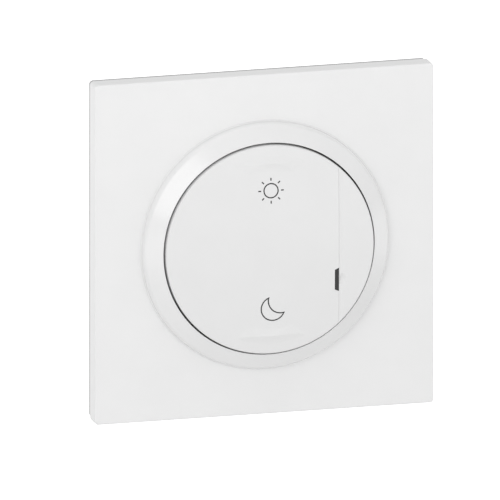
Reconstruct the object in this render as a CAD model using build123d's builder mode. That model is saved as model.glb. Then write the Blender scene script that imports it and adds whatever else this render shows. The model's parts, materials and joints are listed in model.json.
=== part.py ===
"""Rocker dimmer for a 60 mm wall box, with a square cover plate.

Axes: X to the right, Z up, Y into the wall, wall plane at Y = 0.
Sizes are in millimetres. Heights are measured out of the wall, towards the user,
so a height h lies at Y = -h and what sits inside the wall box has a negative height.
"""

import os
from math import radians, sin, sqrt

from build123d import *

# ---- Driving dimensions ----------------------------------------------------------------
PLATE_SIZE = 80.0
PLATE_DEPTH = 4.4
PLATE_WALL = 1.8
PLATE_CORNER = 0.9
PLATE_EDGE = 0.35
SUBFRAME_DEPTH = 2.2
SUBFRAME_INSET = 0.35
FRAME_GAP = 1.45

RING_BAND = 4.15
RING_EDGE_RISE = 1.5
RING_LIP_RISE = 4.2
RING_WALL = 1.2
RING_OUTER_ROUND = 0.5
SAME_SIZE = 0.001  # radii closer than this are the same edge
RING_INNER_ROUND = 0.18
PLATE_HOLE_GAP = 0.45

ROCKER_R = 24.5
ROCKER_GAP = 0.4
ROCKER_PROUD = 0.8
ROCKER_WALL = 1.5
ROCKER_SKIRT = 3.2
DOME_RISE = 0.9
ROCKER_EDGE = 0.3
TILT_DEG = 1.8
PIVOT_CLEARANCE = 0.4
PIVOT_R = 0.75
PIVOT_END = 0.05
PIVOT_RUN = 0.05
EAR_THICKNESS = 1.9
EAR_WIDTH = 4.4
EAR_GAP = 0.25
EAR_SKIRT_GAP = 2.5

CREST_INSET = 4.2
CREST_HEIGHT = 0.24
CREST_FLANK = 2.3
CREST_HALF_SPAN = 8.2
CREST_CAP = 0.25
CREST_ROOT = 0.01

GROOVE_INSET = 8.2
GROOVE_DEPTH = 0.2
GROOVE_STEEP = 0.28
GROOVE_SHALLOW = 0.85
FLANK_REACH = 3
VALLEY_SWEEP = 10

WINDOW_Z = -8.0
WINDOW_GAP = 0.1
WINDOW_WIDTH = 1.05
WINDOW_LONG = 5.6
WINDOW_SHORT = 4.7
LENS_RECESS = 0.4
LENS_FIT = 0.04
LENS_FLANGE = 0.75
LENS_FLANGE_MARGIN = 0.8
DISH_R = 2.0
DISH_DEPTH = 0.75
BLANK_MARGIN = 1.0

SUN_AT = (0.05, 14.05)
MOON_AT = (0.5, -13.8)
SYMBOL_LINE = 0.28
SYMBOL_DEPTH = 0.25
SYMBOL_PROUD = 0.02
POCKET_TOP = 0.5
SUN_R = 1.8
SUN_RAY_IN = 2.35
SUN_RAY_OUT = 3.0
SUN_RAYS = 8
MOON_R = 2.9
MOON_TIP = (-0.82, 2.82)
MOON_INNER = -0.12

FRAME_SIZE = 70.0
FRAME_THICKNESS = 1.2
FRAME_CORNER = 6.0
BOX_SCREW_SPACING = 60.0
BOX_SLOT_R = 2.1
BOX_SLOT_LENGTH = 6.4
BOX_HEAD_R = 4.2

CHASSIS_GAP = 0.15
CHASSIS_THICKNESS = 1.8
SPIGOT_WALL = 0.75
SPIGOT_GAP = 0.15
SPIGOT_DEPTH = 3.4

HOUSING_R = 22.5
HOUSING_WALL = 1.6
HOUSING_DEPTH = 26.0
HOUSING_HOLE_GAP = 0.3
CLAMP_LUG_R = 25.0
CLAMP_LUG_DEPTH = 1.5
CLAMP_LUG_WIDTH = 6.0
CLAMP_LUG_ROOT = 0.5
HOUSING_ROUND = 1.0
LEDGE_WIDTH = 2.0
LEDGE_INNER_R = 19.0
LEDGE_ANGLES = (20, 90, 160, 270)
LEDGE_ROOT = 0.4
STANDOFF_R = 1.2
STANDOFF_PITCH = 24.8
POST_X = 13.5
POST_R = 2.5
SCREW_R = 1.1
SCREW_FIT = 0.02
SCREW_LENGTH = 9.0
SCREW_HEAD_R = 2.05
SCREW_HEAD = 1.2
SCREW_SEAT = 0.8
SCREW_CLEARANCE = 0.15
SCREW_HEAD_CLEARANCE = 0.25
SCREW_END_GAP = 1.0
SCREW_RECESS = (2.2, 0.5)

PLUNGER_Z = 15.0
PLUNGER_R = 2.65
PLUNGER_FIT = 0.08
PAD_HEIGHT = 0.55
PLUNGER_TIP_GAP = 0.15
PLUNGER_CROWN = 1.3
PLUNGER_ROUND = 0.5
PLUNGER_BORE_R = 2.05
PLUNGER_PIN_R = 0.7
PLUNGER_BASE_GAP = 0.38
PAD_R = 2.3
GUIDE_WALL = 1.0
GUIDE_SET_BACK = 1.6
SPRING_R = 1.5
SPRING_WIRE_R = 0.2
SPRING_TURNS = 4
SPRING_END_GAP = 0.02

STANDOFF_HEIGHT = 1.8
CONTROL_BOARD_THICKNESS = 1.0
CONTROL_BOARD_GAP = 0.3
SWITCH_SIZE = 4.5
SWITCH_BODY = 1.5
SWITCH_BUTTON_R = 1.0
SWITCH_BUTTON = 0.5
SWITCH_GAP = 0.05
SWITCH_HOLE_R = 1.2
SWITCH_CORNER = 0.4

LED_SIZE = (1.6, 1.0, 0.7)
LED_X = 15.9
LED_GAP = 0.1
GUIDE_R = 1.1
GUIDE_FIT = 0.05
GUIDE_COLLAR_R = 1.8
GUIDE_COLLAR = 0.8
LIGHT_GAP = 0.65

CHIP_SIZE = 5.0
CHIP_HEIGHT = 0.9
CHIP_CORNER = 0.2
HEADER_SIZE = (10.0, 2.5)
HEADER_SOCKET = 5.4
HEADER_STRIP = 1.0
HEADER_PINS = 4
HEADER_PIN = 0.6
HEADER_Z = 12.0

SPREADER_Z = -12.5
SPREADER_FOOT = 3.5
SPREADER_LENGTH = 22.0
SPREADER_THICKNESS = 1.0
SPREADER_HEIGHT = 6.4
TRANSISTOR_X = 5.6
TRANSISTOR_SIZE = (8.0, 2.6, 5.0)
TRANSISTOR_LEAD = 1.1
TRANSISTOR_LEADS = 3
TRANSISTOR_LEAD_SIZE = (0.7, 0.5)

CHOKE_AT = (-9.0, 9.0)
CHOKE_R = 5.4
CHOKE_HOLE_R = 2.9
CHOKE_HEIGHT = 4.6
CHOKE_GAP = 1.1
WINDING_WIRE_R = 0.4
WINDING_FIT = 0.08
WINDING_TURNS = 16
FILM_SIZE = (11.0, 6.0, 10.0)
FILM_AT = (7.5, 6.0)
FILM_ROUND = 0.4
CAN_R = 3.2
CAN_LENGTH = 10.0
CAN_AT = (6.0, 14.0)
CAN_ROUND = 0.5
FUSE_R = 2.2
FUSE_LENGTH = 7.0
FUSE_AT = (-1.0, 15.5)
FUSE_ROUND = 0.4

BOARD_GAP = 7.4
POWER_BOARD_THICKNESS = 1.6
POWER_BOARD_GAP = 0.5
POST_CLEARANCE = 0.3

TERMINAL_PITCH = 8.0
TERMINAL_COUNT = 3
BLOCK_SIDE_WALL = 2.3
BLOCK_END_WALL = 1.1
BLOCK_Z = -10.2
BLOCK_GAP = 2.4
BLOCK_CORNER = 0.8
WIRE_BORE_R = 1.7
WIRE_BORE_LENGTH = 4.4
WIRE_BAR_GAP = 0.05
CHAMBER_SIZE = (5.4, 8.8)
BUTTON_SIZE = (3.2, 2.8)
BUTTON_WALL_GAP = 0.2
BUTTON_FIT = 0.12
BUTTON_FLANGE = (4.2, 3.6, 1.3)
BUTTON_STANDOFF = 1.3
BUTTON_ROUND = 0.3
BAR_SIZE = (4.6, 0.8)
BAR_WALL_GAP = 0.05
BAR_FLOOR_GAP = 1.1
LEAF_WIDTH = 4.2
LEAF_THICKNESS = 0.3
LEAF_BEND_R = 0.9
LEAF_BAR_GAP = 0.75
LEAF_FRONT_GAP = 0.6
LEAF_HOOK = 3.4
LEAF_WALL_GAP = 0.3
LEAF_TAIL = 3.0
LEAF_TIP = (0.6, 0.8)
CLIP_INSET = 8.0
CLIP_END = 0.15
CLIP_SIZE = (3.4, 1.4)
CLIP_FIT = 0.12

# ---- Derived heights -------------------------------------------------------------------
PLATE_BACK = SUBFRAME_DEPTH
PLATE_FACE = PLATE_BACK + PLATE_DEPTH
PLATE_INNER = PLATE_FACE - PLATE_WALL
RING_INNER_R = ROCKER_R + ROCKER_GAP
RING_COLLAR_R = RING_INNER_R + RING_WALL
RING_OUTER_R = RING_INNER_R + RING_BAND
RING_LIP = PLATE_FACE + RING_LIP_RISE
PLATE_HOLE_R = RING_COLLAR_R + PLATE_HOLE_GAP
CHASSIS_BACK = FRAME_THICKNESS
CHASSIS_FRONT = CHASSIS_BACK + CHASSIS_THICKNESS
CHASSIS_R = PLATE_HOLE_R - CHASSIS_GAP
CLIP_X = FRAME_SIZE / 2 - CLIP_INSET
PIVOT_HEIGHT = CHASSIS_FRONT + EAR_WIDTH / 2 + PIVOT_CLEARANCE
EAR_INNER_X = ROCKER_R - ROCKER_WALL - EAR_SKIRT_GAP - EAR_THICKNESS
ROCKER_EAR_X = EAR_INNER_X - EAR_GAP - EAR_THICKNESS / 2
CREST_R = ROCKER_R - CREST_INSET
GROOVE_X = ROCKER_R - GROOVE_INSET
WINDOW_X = GROOVE_X - WINDOW_GAP - WINDOW_WIDTH / 2
ROCKER_RIM = RING_LIP + ROCKER_PROUD
ROCKER_FLOOR = ROCKER_RIM - ROCKER_WALL
DOME_TOP = ROCKER_RIM + DOME_RISE
DOME_R = (ROCKER_R**2 + DOME_RISE**2) / (2 * DOME_RISE)
PLUNGER_TOP = ROCKER_FLOOR - PAD_HEIGHT - PLUNGER_TIP_GAP
PLUNGER_BORE_END = PLUNGER_TOP - PLUNGER_CROWN
GUIDE_TOP = PLUNGER_TOP - GUIDE_SET_BACK
LIGHT_GUIDE_TOP = ROCKER_FLOOR - LENS_FLANGE - LIGHT_GAP
HOUSING_BACK = -HOUSING_DEPTH
HOUSING_INNER_R = HOUSING_R - HOUSING_WALL
HOUSING_FLOOR = HOUSING_BACK + HOUSING_WALL
SPIGOT_R = HOUSING_INNER_R - SPIGOT_GAP
SPIGOT_INNER_R = SPIGOT_R - SPIGOT_WALL
CONTROL_BOARD_FRONT = CHASSIS_BACK - STANDOFF_HEIGHT
CONTROL_BOARD_BACK = CONTROL_BOARD_FRONT - CONTROL_BOARD_THICKNESS
CONTROL_BOARD_R = SPIGOT_INNER_R - CONTROL_BOARD_GAP
POWER_BOARD_FRONT = CONTROL_BOARD_BACK - BOARD_GAP
POWER_BOARD_BACK = POWER_BOARD_FRONT - POWER_BOARD_THICKNESS
POWER_BOARD_R = HOUSING_INNER_R - POWER_BOARD_GAP
FRAME_HOLE_R = HOUSING_R + HOUSING_HOLE_GAP
SCREW_SEAT_HEIGHT = CHASSIS_BACK + SCREW_SEAT
SWITCH_TOP = CONTROL_BOARD_FRONT + SWITCH_BODY + SWITCH_BUTTON
PLUNGER_TRAVEL = PLUNGER_Z * sin(radians(TILT_DEG))
PLUNGER_BASE = CHASSIS_FRONT + PLUNGER_TRAVEL + PLUNGER_BASE_GAP
PIN_END = SWITCH_TOP + SWITCH_GAP + PLUNGER_TRAVEL
LED_TOP = CONTROL_BOARD_FRONT + LED_SIZE[2]
TERMINAL_XS = [
    (i - (TERMINAL_COUNT - 1) / 2) * TERMINAL_PITCH for i in range(TERMINAL_COUNT)
]
POSTS = [(-POST_X, 0), (POST_X, 0)]
BLOCK_FRONT = POWER_BOARD_BACK - BLOCK_GAP
BLOCK_WIDTH = (TERMINAL_COUNT - 1) * TERMINAL_PITCH + CHAMBER_SIZE[0] + 2 * BLOCK_SIDE_WALL
BLOCK_HEIGHT = CHAMBER_SIZE[1] + 2 * BLOCK_END_WALL
CHAMBER_TOP = BLOCK_Z + CHAMBER_SIZE[1] / 2
CHAMBER_BOTTOM = BLOCK_Z - CHAMBER_SIZE[1] / 2
CHAMBER_FLOOR = HOUSING_BACK + WIRE_BORE_LENGTH
BAR_Z = CHAMBER_TOP - BAR_WALL_GAP - BAR_SIZE[1] / 2
WIRE_BORE_Z = BAR_Z - BAR_SIZE[1] / 2 - WIRE_BAR_GAP - WIRE_BORE_R
BUTTON_Z = CHAMBER_BOTTOM + BUTTON_WALL_GAP + BUTTON_FLANGE[1] / 2
BAR_END = CHAMBER_FLOOR + BAR_FLOOR_GAP

PROFILE = Plane(origin=(0, 0, 0), x_dir=(1, 0, 0), z_dir=(0, 0, -1))


def facing(height):
    """Plane parallel to the wall at a height, drawn in X and Z, that extrudes towards the user."""
    return Plane.XZ.offset(height)


def dome_height(radius):
    """Height of the rocker's domed face at a distance from its axis."""
    return DOME_TOP - DOME_R + sqrt(DOME_R**2 - radius**2)


# ---- Cover plate -----------------------------------------------------------------------
with BuildPart() as cover_plate:
    with BuildSketch(facing(PLATE_BACK)):
        RectangleRounded(PLATE_SIZE, PLATE_SIZE, PLATE_CORNER)
    extrude(amount=PLATE_DEPTH)
    front_rim = cover_plate.faces().sort_by(Axis.Y)[0].edges()
    fillet(front_rim, PLATE_EDGE)
    with BuildSketch(facing(PLATE_BACK)):
        Rectangle(PLATE_SIZE - 2 * PLATE_WALL, PLATE_SIZE - 2 * PLATE_WALL)
    extrude(amount=PLATE_DEPTH - PLATE_WALL, mode=Mode.SUBTRACT)
    with BuildSketch(facing(PLATE_BACK)):
        Circle(PLATE_HOLE_R)
    extrude(amount=PLATE_DEPTH, mode=Mode.SUBTRACT)
    with BuildSketch(facing(CLIP_END)):
        with GridLocations(2 * CLIP_X, 2 * CLIP_X, 2, 2):
            Rectangle(*CLIP_SIZE)
    extrude(amount=PLATE_INNER - CLIP_END)

# ---- Sub-frame that the cover plate clips over -----------------------------------------
SUBFRAME_SIZE = PLATE_SIZE - 2 * SUBFRAME_INSET
with BuildPart() as plate_subframe:
    with BuildSketch(facing(0)):
        RectangleRounded(SUBFRAME_SIZE, SUBFRAME_SIZE, PLATE_CORNER)
        Rectangle(FRAME_SIZE + 2 * FRAME_GAP, FRAME_SIZE + 2 * FRAME_GAP, mode=Mode.SUBTRACT)
    extrude(amount=FRAME_THICKNESS)
    with BuildSketch(facing(FRAME_THICKNESS)):
        RectangleRounded(SUBFRAME_SIZE, SUBFRAME_SIZE, PLATE_CORNER)
        Circle(PLATE_HOLE_R, mode=Mode.SUBTRACT)
        with GridLocations(2 * CLIP_X, 2 * CLIP_X, 2, 2):
            Rectangle(
                CLIP_SIZE[0] + 2 * CLIP_FIT,
                CLIP_SIZE[1] + 2 * CLIP_FIT,
                mode=Mode.SUBTRACT,
            )
        with PolarLocations(BOX_SCREW_SPACING / 2, 4):
            Circle(BOX_HEAD_R, mode=Mode.SUBTRACT)
    extrude(amount=SUBFRAME_DEPTH - FRAME_THICKNESS)

# ---- Trim ring -------------------------------------------------------------------------
with BuildPart() as trim_ring:
    edge_height = PLATE_FACE + RING_EDGE_RISE
    with BuildSketch(PROFILE):
        with BuildLine():
            Polyline(
                (RING_INNER_R, CHASSIS_FRONT),
                (RING_COLLAR_R, CHASSIS_FRONT),
                (RING_COLLAR_R, PLATE_FACE),
                (RING_OUTER_R, PLATE_FACE),
                (RING_OUTER_R, edge_height),
                (RING_INNER_R, RING_LIP),
                close=True,
            )
        make_face()
    revolve(axis=Axis.Y)
    crown = trim_ring.edges().filter_by(GeomType.CIRCLE)
    outer_edge = crown.filter_by(
        lambda e: abs(e.radius - RING_OUTER_R) < SAME_SIZE and e.center().Y < -PLATE_FACE - RING_EDGE_RISE / 2
    )
    inner_edge = crown.filter_by(
        lambda e: abs(e.radius - RING_INNER_R) < SAME_SIZE and e.center().Y < -PLATE_FACE
    )
    fillet(outer_edge, RING_OUTER_ROUND)
    fillet(inner_edge, RING_INNER_ROUND)

# ---- Mounting frame --------------------------------------------------------------------
with BuildPart() as mounting_frame:
    with BuildSketch(facing(0)):
        RectangleRounded(FRAME_SIZE, FRAME_SIZE, FRAME_CORNER)
        Circle(FRAME_HOLE_R, mode=Mode.SUBTRACT)
        with PolarLocations(BOX_SCREW_SPACING / 2, 4):
            SlotOverall(BOX_SLOT_LENGTH, 2 * BOX_SLOT_R, mode=Mode.SUBTRACT)
        with GridLocations(2 * CLIP_X, 2 * CLIP_X, 2, 2):
            Rectangle(
                CLIP_SIZE[0] + 2 * CLIP_FIT,
                CLIP_SIZE[1] + 2 * CLIP_FIT,
                mode=Mode.SUBTRACT,
            )
    extrude(amount=FRAME_THICKNESS)

# ---- Front chassis ---------------------------------------------------------------------
with BuildPart() as front_chassis:
    with BuildSketch(facing(CHASSIS_BACK)):
        Circle(CHASSIS_R)
    extrude(amount=CHASSIS_THICKNESS)
    with BuildSketch(facing(CHASSIS_BACK - SPIGOT_DEPTH)):
        Circle(SPIGOT_R)
        Circle(SPIGOT_INNER_R, mode=Mode.SUBTRACT)
    extrude(amount=SPIGOT_DEPTH)
    with BuildSketch(facing(CONTROL_BOARD_FRONT)):
        with GridLocations(STANDOFF_PITCH, STANDOFF_PITCH, 2, 2):
            Circle(STANDOFF_R)
    extrude(amount=CHASSIS_BACK - CONTROL_BOARD_FRONT)
    with BuildSketch(facing(CHASSIS_FRONT)):
        with Locations((0, PLUNGER_Z), (0, -PLUNGER_Z)):
            Circle(PLUNGER_R + PLUNGER_FIT + GUIDE_WALL)
    extrude(amount=GUIDE_TOP - CHASSIS_FRONT)
    with BuildSketch(facing(CHASSIS_FRONT)):
        with Locations((0, PLUNGER_Z), (0, -PLUNGER_Z)):
            Circle(PLUNGER_R + PLUNGER_FIT)
    extrude(amount=GUIDE_TOP - CHASSIS_FRONT, mode=Mode.SUBTRACT)
    with BuildSketch(facing(CHASSIS_BACK)):
        with Locations((0, PLUNGER_Z), (0, -PLUNGER_Z)):
            Circle(SWITCH_HOLE_R)
        with Locations((LED_X, WINDOW_Z)):
            Circle(GUIDE_R + GUIDE_FIT)
        with Locations(*POSTS):
            Circle(SCREW_R + SCREW_CLEARANCE)
    extrude(amount=CHASSIS_THICKNESS, mode=Mode.SUBTRACT)
    with BuildSketch(facing(SCREW_SEAT_HEIGHT)):
        with Locations(*POSTS):
            Circle(SCREW_HEAD_R + SCREW_HEAD_CLEARANCE)
    extrude(amount=CHASSIS_THICKNESS - SCREW_SEAT, mode=Mode.SUBTRACT)
    for side in (-1, 1):
        ear_x = side * (EAR_INNER_X + EAR_THICKNESS / 2)
        with BuildSketch(Plane.YZ.offset(ear_x)):
            with Locations((-PIVOT_HEIGHT, 0)):
                Circle(EAR_WIDTH / 2)
            with Locations((-(PIVOT_HEIGHT + CHASSIS_FRONT) / 2, 0)):
                Rectangle(PIVOT_HEIGHT - CHASSIS_FRONT, EAR_WIDTH)
        extrude(amount=EAR_THICKNESS / 2, both=True)
        with BuildSketch(Plane.YZ.offset(ear_x)):
            with Locations((-PIVOT_HEIGHT, 0)):
                Circle(PIVOT_R + SCREW_FIT)
        extrude(amount=EAR_THICKNESS / 2, both=True, mode=Mode.SUBTRACT)

# ---- Pivot pins ------------------------------------------------------------------------
with BuildPart() as pivot_pins:
    for side in (-1, 1):
        pin_middle = side * (EAR_INNER_X - EAR_GAP / 2)
        with BuildSketch(Plane.YZ.offset(pin_middle)):
            with Locations((-PIVOT_HEIGHT, 0)):
                Circle(PIVOT_R)
        extrude(amount=EAR_THICKNESS + EAR_GAP / 2 + PIVOT_END, both=True)

# ---- Rocker ----------------------------------------------------------------------------
DOME_CENTRE = (0, -(DOME_TOP - DOME_R), 0)


def finger_crest(side):
    """Low curved ridge near the rim that a finger feels, with hollow flanks, fading at both ends."""
    crest_surface = dome_height(CREST_R)
    inner_foot = (CREST_R - CREST_FLANK, dome_height(CREST_R - CREST_FLANK) - CREST_ROOT)
    outer_foot = (CREST_R + CREST_FLANK, dome_height(CREST_R + CREST_FLANK) - CREST_ROOT)
    top = (CREST_R, crest_surface + CREST_HEIGHT)
    fall = CREST_R / sqrt(DOME_R**2 - CREST_R**2)
    cap_r = 1 / (2 * CREST_CAP / CREST_HALF_SPAN**2 + 1 / DOME_R)
    with BuildPart() as crest:
        with BuildSketch(PROFILE):
            with BuildLine():
                TangentArc(inner_foot, top, tangent=(1, -fall))
                TangentArc(outer_foot, top, tangent=(-1, fall))
                Polyline(inner_foot, (CREST_R, crest_surface - ROCKER_WALL / 2), outer_foot)
            make_face()
        revolve(axis=Axis.Y)
        cap_middle = (0, -(crest_surface + CREST_CAP - cap_r), side * CREST_R)
        with Locations(cap_middle):
            Sphere(cap_r, mode=Mode.INTERSECT)
    return crest.part


def window_outline(grow=0.0):
    """Corners of the indicator window: a trapezium with its long side against the groove."""
    left = GROOVE_X - WINDOW_GAP - WINDOW_WIDTH - grow
    right = GROOVE_X - WINDOW_GAP + grow
    return [
        (left, WINDOW_Z - WINDOW_SHORT / 2 - grow),
        (right, WINDOW_Z - WINDOW_LONG / 2 - grow),
        (right, WINDOW_Z + WINDOW_LONG / 2 + grow),
        (left, WINDOW_Z + WINDOW_SHORT / 2 + grow),
    ]


with BuildSketch(facing(ROCKER_FLOOR)) as sun_outline:
    with Locations(SUN_AT):
        Circle(SUN_R)
        Circle(SUN_R - SYMBOL_LINE, mode=Mode.SUBTRACT)
        with PolarLocations((SUN_RAY_IN + SUN_RAY_OUT) / 2, SUN_RAYS):
            Rectangle(SUN_RAY_OUT - SUN_RAY_IN, SYMBOL_LINE)

with BuildSketch(facing(ROCKER_FLOOR)) as moon_outline:
    with Locations(MOON_AT):
        with BuildSketch(mode=Mode.PRIVATE) as crescent:
            with BuildLine():
                tip, other_tip = MOON_TIP, (MOON_TIP[1], MOON_TIP[0])
                low = -MOON_R * sin(radians(45))
                ThreePointArc(tip, (low, low), other_tip)
                ThreePointArc(other_tip, (MOON_INNER, MOON_INNER), tip)
            make_face()
        add(crescent.sketch)
        add(offset(crescent.sketch, -SYMBOL_LINE, mode=Mode.PRIVATE), mode=Mode.SUBTRACT)


def inlay(outline, depth, proud):
    """Outline turned into a thin layer that follows the dome, from a depth below it to just above it."""
    with BuildPart() as layer:
        extrude(outline.sketch, amount=2 * ROCKER_WALL, dir=(0, -1, 0))
        with Locations(DOME_CENTRE):
            Sphere(DOME_R + proud, mode=Mode.INTERSECT)
            Sphere(DOME_R - depth, mode=Mode.SUBTRACT)
    return layer.part


def light_dish():
    """Half of a shallow funnel beside the window, from the valley's bottom to the right."""
    with BuildPart() as hollow:
        with BuildSketch(Plane(origin=(GROOVE_X, 0, WINDOW_Z), x_dir=(1, 0, 0), z_dir=(0, 0, -1))):
            with BuildLine():
                Polyline(
                    (0, groove_surface - DISH_DEPTH),
                    (FLANK_REACH * DISH_R, groove_surface + (FLANK_REACH - 1) * DISH_DEPTH),
                    (0, groove_surface + (FLANK_REACH - 1) * DISH_DEPTH),
                    close=True,
                )
            make_face()
        revolve(axis=Axis((GROOVE_X, 0, WINDOW_Z), (0, 1, 0)))
        split(bisect_by=Plane.YZ.offset(GROOVE_X - WINDOW_GAP / 2), keep=Keep.TOP)
    return hollow.part


def valley_flank(edge_x):
    """Point far up the valley's flank that runs from its bottom out to the dome at edge_x."""
    rise = dome_height(edge_x) - valley_height
    far_x = GROOVE_X + FLANK_REACH * (edge_x - GROOVE_X)
    return (far_x, -(valley_height + FLANK_REACH * rise) - DOME_CENTRE[1])


groove_surface = dome_height(GROOVE_X)
valley_height = groove_surface - GROOVE_DEPTH
upper_crest, lower_crest = finger_crest(1), finger_crest(-1)
dish = light_dish()
symbol_pockets = [inlay(outline, SYMBOL_DEPTH, POCKET_TOP) for outline in (sun_outline, moon_outline)]

with BuildPart() as rocker:
    with BuildSketch(PROFILE):
        with BuildLine():
            Polyline(
                (0, DOME_TOP + BLANK_MARGIN),
                (0, ROCKER_FLOOR),
                (ROCKER_R - ROCKER_WALL, ROCKER_FLOOR),
                (ROCKER_R - ROCKER_WALL, ROCKER_RIM - ROCKER_SKIRT),
                (ROCKER_R, ROCKER_RIM - ROCKER_SKIRT),
                (ROCKER_R, DOME_TOP + BLANK_MARGIN),
                close=True,
            )
        make_face()
    revolve(axis=Axis.Y)
    with Locations(DOME_CENTRE):
        Sphere(DOME_R, mode=Mode.INTERSECT)
    rim = rocker.edges().filter_by(GeomType.CIRCLE).sort_by(Axis.Y)[0]
    fillet(rim, ROCKER_EDGE)
    add([upper_crest, lower_crest])
    # valley between the main field and the right-hand field, swept along the dome
    start = Plane(origin=DOME_CENTRE, x_dir=(1, 0, 0), z_dir=(0, 0, 1)).rotated((-VALLEY_SWEEP / 2, 0, 0))
    with BuildSketch(start):
        with BuildLine():
            Polyline(
                (GROOVE_X, -valley_height - DOME_CENTRE[1]),
                valley_flank(GROOVE_X - GROOVE_STEEP),
                valley_flank(GROOVE_X + GROOVE_SHALLOW),
                close=True,
            )
        make_face()
    revolve(axis=Axis(DOME_CENTRE, (1, 0, 0)), revolution_arc=VALLEY_SWEEP, mode=Mode.SUBTRACT)
    # dish that spreads the indicator's light
    add(dish, mode=Mode.SUBTRACT)
    with BuildSketch(facing(ROCKER_FLOOR)):
        Polygon(*window_outline(), align=None)
    extrude(amount=ROCKER_WALL + DOME_RISE, mode=Mode.SUBTRACT)
    # pockets for the inlaid symbols
    add(symbol_pockets, mode=Mode.SUBTRACT)
    # pads that push the plungers
    with BuildSketch(facing(PLUNGER_TOP + PLUNGER_TIP_GAP)):
        with Locations((0, PLUNGER_Z), (0, -PLUNGER_Z)):
            Circle(PAD_R)
    extrude(amount=PAD_HEIGHT)
    # ears that run on the pivot pins
    for side in (-1, 1):
        with BuildSketch(Plane.YZ.offset(side * ROCKER_EAR_X)):
            with Locations((-PIVOT_HEIGHT, 0)):
                Circle(EAR_WIDTH / 2)
            with Locations((-(PIVOT_HEIGHT + ROCKER_FLOOR) / 2, 0)):
                Rectangle(ROCKER_FLOOR - PIVOT_HEIGHT, EAR_WIDTH)
        extrude(amount=EAR_THICKNESS / 2, both=True)
        with BuildSketch(Plane.YZ.offset(side * ROCKER_EAR_X)):
            with Locations((-PIVOT_HEIGHT, 0)):
                Circle(PIVOT_R + PIVOT_RUN)
        extrude(amount=EAR_THICKNESS / 2, both=True, mode=Mode.SUBTRACT)

with BuildPart() as sun_symbol:
    add(inlay(sun_outline, SYMBOL_DEPTH, SYMBOL_PROUD))

with BuildPart() as moon_symbol:
    add(inlay(moon_outline, SYMBOL_DEPTH, SYMBOL_PROUD))

with BuildPart() as indicator_lens:
    lens_top = groove_surface - LENS_RECESS
    with BuildSketch(facing(ROCKER_FLOOR)):
        Polygon(*window_outline(-LENS_FIT), align=None)
    extrude(amount=lens_top - ROCKER_FLOOR)
    with BuildSketch(facing(ROCKER_FLOOR - LENS_FLANGE)):
        Polygon(*window_outline(LENS_FLANGE_MARGIN), align=None)
    extrude(amount=LENS_FLANGE)

# ---- Plungers, their springs and the push switches -------------------------------------


def plunger(z):
    """Domed cap with a spring bore and a thin pin that reaches the push switch."""
    with BuildPart() as cap:
        with BuildSketch(facing(PLUNGER_BASE)):
            with Locations((0, z)):
                Circle(PLUNGER_R)
        extrude(amount=PLUNGER_TOP - PLUNGER_BASE)
        fillet(cap.edges().sort_by(Axis.Y)[0], PLUNGER_ROUND)
        with BuildSketch(facing(PLUNGER_BASE)):
            with Locations((0, z)):
                Circle(PLUNGER_BORE_R)
        extrude(amount=PLUNGER_BORE_END - PLUNGER_BASE, mode=Mode.SUBTRACT)
        with BuildSketch(facing(PIN_END)):
            with Locations((0, z)):
                Circle(PLUNGER_PIN_R)
        extrude(amount=PLUNGER_BORE_END - PIN_END)
    return cap.part


def coil_spring(z):
    """Compression spring round a plunger's pin, from the chassis to the end of the bore."""
    low = CHASSIS_FRONT + SPRING_WIRE_R + SPRING_END_GAP
    high = PLUNGER_BORE_END - SPRING_WIRE_R - SPRING_END_GAP
    with BuildPart() as spring:
        with BuildLine():
            coil = Helix(
                pitch=(high - low) / SPRING_TURNS,
                height=high - low,
                radius=SPRING_R,
                center=(0, -low, z),
                direction=(0, -1, 0),
            )
        with BuildSketch(Plane(origin=coil @ 0, z_dir=coil % 0)):
            Circle(SPRING_WIRE_R)
        sweep(is_frenet=True)
    return spring.part


def push_switch(z):
    """Small square switch on the control board with a round button."""
    with BuildPart() as switch:
        with BuildSketch(facing(CONTROL_BOARD_FRONT)):
            with Locations((0, z)):
                RectangleRounded(SWITCH_SIZE, SWITCH_SIZE, SWITCH_CORNER)
        extrude(amount=SWITCH_BODY)
        with BuildSketch(facing(CONTROL_BOARD_FRONT + SWITCH_BODY)):
            with Locations((0, z)):
                Circle(SWITCH_BUTTON_R)
        extrude(amount=SWITCH_BUTTON)
    return switch.part


with BuildPart() as upper_plunger:
    add(plunger(PLUNGER_Z))

with BuildPart() as lower_plunger:
    add(plunger(-PLUNGER_Z))

with BuildPart() as upper_spring:
    add(coil_spring(PLUNGER_Z))

with BuildPart() as lower_spring:
    add(coil_spring(-PLUNGER_Z))

with BuildPart() as upper_switch:
    add(push_switch(PLUNGER_Z))

with BuildPart() as lower_switch:
    add(push_switch(-PLUNGER_Z))

# ---- Control board and what sits on it -------------------------------------------------
with BuildPart() as control_board:
    with BuildSketch(facing(CONTROL_BOARD_BACK)):
        Circle(CONTROL_BOARD_R)
        with Locations(*POSTS):
            Circle(POST_R + POST_CLEARANCE, mode=Mode.SUBTRACT)
    extrude(amount=CONTROL_BOARD_THICKNESS)

with BuildPart() as controller_chip:
    with BuildSketch(facing(CONTROL_BOARD_FRONT)):
        RectangleRounded(CHIP_SIZE, CHIP_SIZE, CHIP_CORNER)
    extrude(amount=CHIP_HEIGHT)

with BuildPart() as status_led:
    with BuildSketch(facing(CONTROL_BOARD_FRONT)):
        with Locations((LED_X, WINDOW_Z)):
            Rectangle(LED_SIZE[0], LED_SIZE[1])
    extrude(amount=LED_SIZE[2])

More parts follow.
